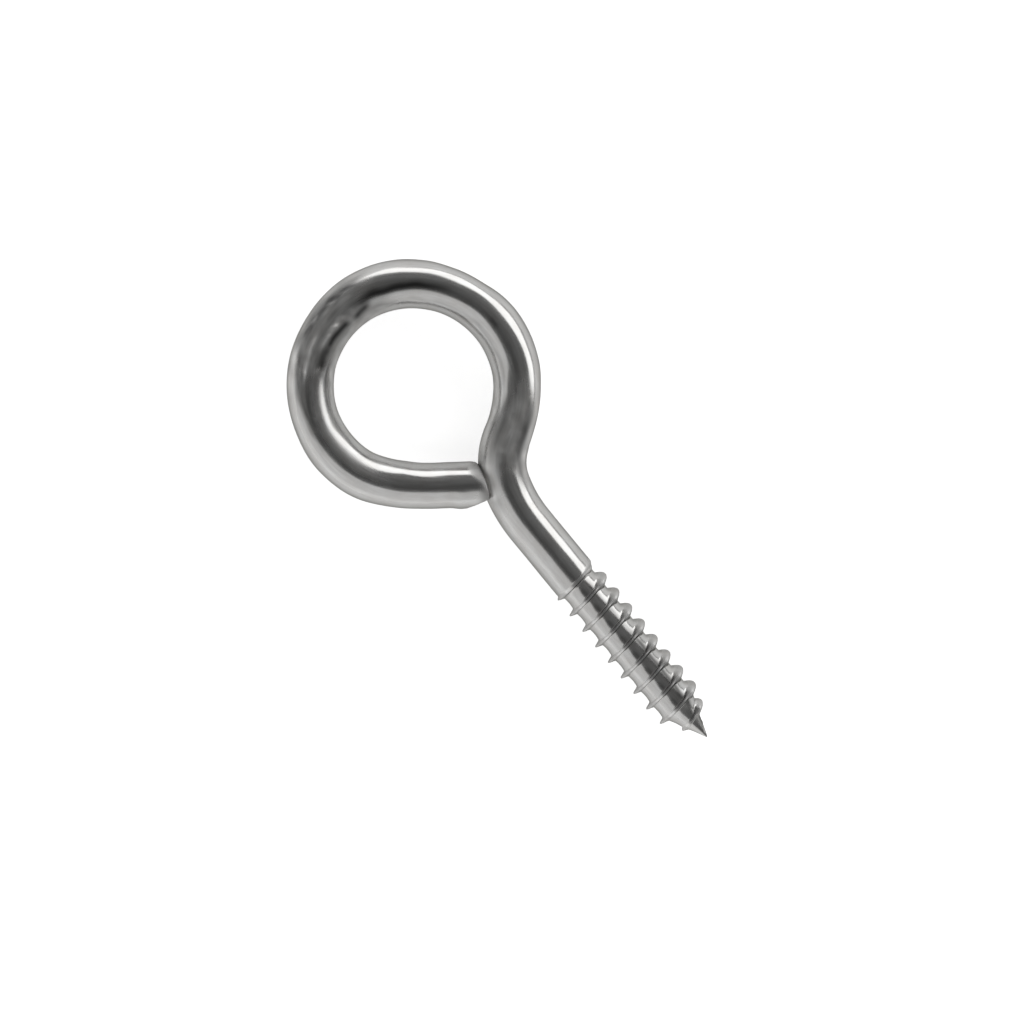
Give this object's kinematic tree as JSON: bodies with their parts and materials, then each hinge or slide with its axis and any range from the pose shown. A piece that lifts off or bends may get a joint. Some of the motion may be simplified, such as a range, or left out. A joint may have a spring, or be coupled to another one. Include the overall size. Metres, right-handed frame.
{
  "type": "screw eye",
  "caption": "Screw eye bent from round wire: closed eye with a cropped tail, offset neck, plain shank, coarse right-hand wood thread and a sharp point.",
  "frame": {"origin": "on the line of the shank and thread, abeam the centre of the eye's crown bend, in the mid-plane of the wire", "axes": "+X along the shank to the point, +Y towards the side that the neck swings out to, +Z square to the flat of the eye"},
  "size_m": [0.0486, 0.0209, 0.0046],
  "materials": {
    "steel": "bright polished stainless, with light lengthwise drawing lines and forming-tool marks on the eye and the neck"
  },
  "bodies": {
    "root": {"screw_eye": "steel"}
  },
  "joints": []
}
